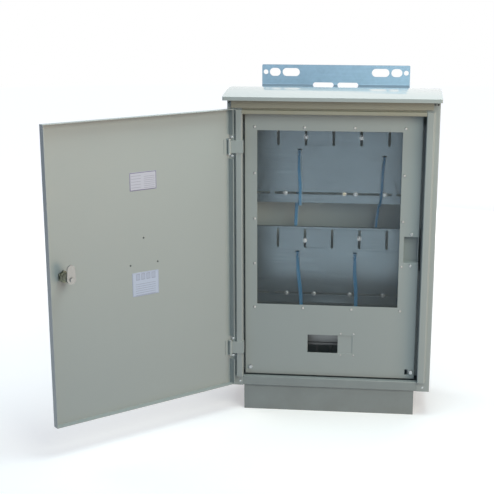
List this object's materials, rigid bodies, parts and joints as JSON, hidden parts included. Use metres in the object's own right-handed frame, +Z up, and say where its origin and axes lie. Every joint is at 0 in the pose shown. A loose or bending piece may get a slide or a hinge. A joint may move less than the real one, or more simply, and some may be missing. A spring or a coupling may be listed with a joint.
{
  "type": "electricity meter cabinet",
  "caption": "Outdoor sheet steel meter cabinet on a plinth, with an open hinged door, a sealed front cover with a window, two slotted meter plates and a rear pole bracket.",
  "frame": {"origin": "centre of the four base fixing holes, on the underside of the plinth", "axes": "+Z up, -Y out of the front where the door is, +X to the right seen from the front"},
  "size_m": [0.854, 0.598, 0.84],
  "materials": {
    "paint": "semi-matt powder coat, warm light grey",
    "zinc": "galvanised sheet",
    "fittings": "bright zinc plate",
    "pane": "clear polished sheet",
    "strap": "translucent blue plastic",
    "label": "blank printed film",
    "rubber": "black edging"
  },
  "bodies": {
    "cabinet": {"back_wall": "paint", "blank_plate": "paint", "blank_plate_rivets": "zinc", "bracket_bolts": "zinc", "cable_edging": "rubber", "cover_rail_left": "paint", "cover_rail_right": "paint", "drip_strip": "paint", "floor_panel": "paint", "frame_screws": "fittings", "front_cover": "paint", "front_header": "paint", "front_sill": "paint", "hinge_arm_lower": "paint", "hinge_arm_upper": "paint", "hinge_screws_lower": "fittings", "hinge_screws_upper": "fittings", "lock_pocket": "paint", "meter_bolts_lower": "zinc", "meter_bolts_upper": "zinc", "meter_plate_lower": "zinc", "meter_plate_upper": "zinc", "module_rail": "zinc", "plate_bracket_lower_left": "zinc", "plate_bracket_lower_right": "zinc", "plate_bracket_upper_left": "zinc", "plate_bracket_upper_right": "zinc", "plinth_back": "paint", "plinth_front": "paint", "plinth_side_left": "paint", "plinth_side_right": "paint", "pocket_screws": "fittings", "pole_bracket": "zinc", "rail_posts": "zinc", "roof": "paint", "seal_screws": "fittings", "side_wall_left": "paint", "side_wall_right": "paint", "tie_strap_lower_left": "strap", "tie_strap_lower_right": "strap", "tie_strap_upper_left": "strap", "tie_strap_upper_right": "strap", "window_pane": "pane", "window_rivets": "fittings"},
    "door": {"door_leaf": "paint", "hinge_bracket_lower": "paint", "hinge_bracket_upper": "paint", "hinge_pin_lower": "fittings", "hinge_pin_upper": "fittings", "label_lower": "label", "label_upper": "label", "lock_barrel": "fittings", "lock_nut": "fittings"},
    "lock_cam": {"lock_cam": "fittings", "cam_screw": "fittings"}
  },
  "joints": [
    {"name": "door_hinge", "type": "hinge", "parent": "cabinet", "child": "door", "pos_m": [-0.2435, -0.1245, 0.415], "axis": [0, 0, 1], "range_deg": [-14, 136]},
    {"name": "lock_cam_turn", "type": "hinge", "parent": "door", "child": "lock_cam", "pos_m": [-0.54776, -0.45794, 0.4165], "axis": [0.6947, -0.7193, 0], "range_deg": [0, 90]}
  ]
}
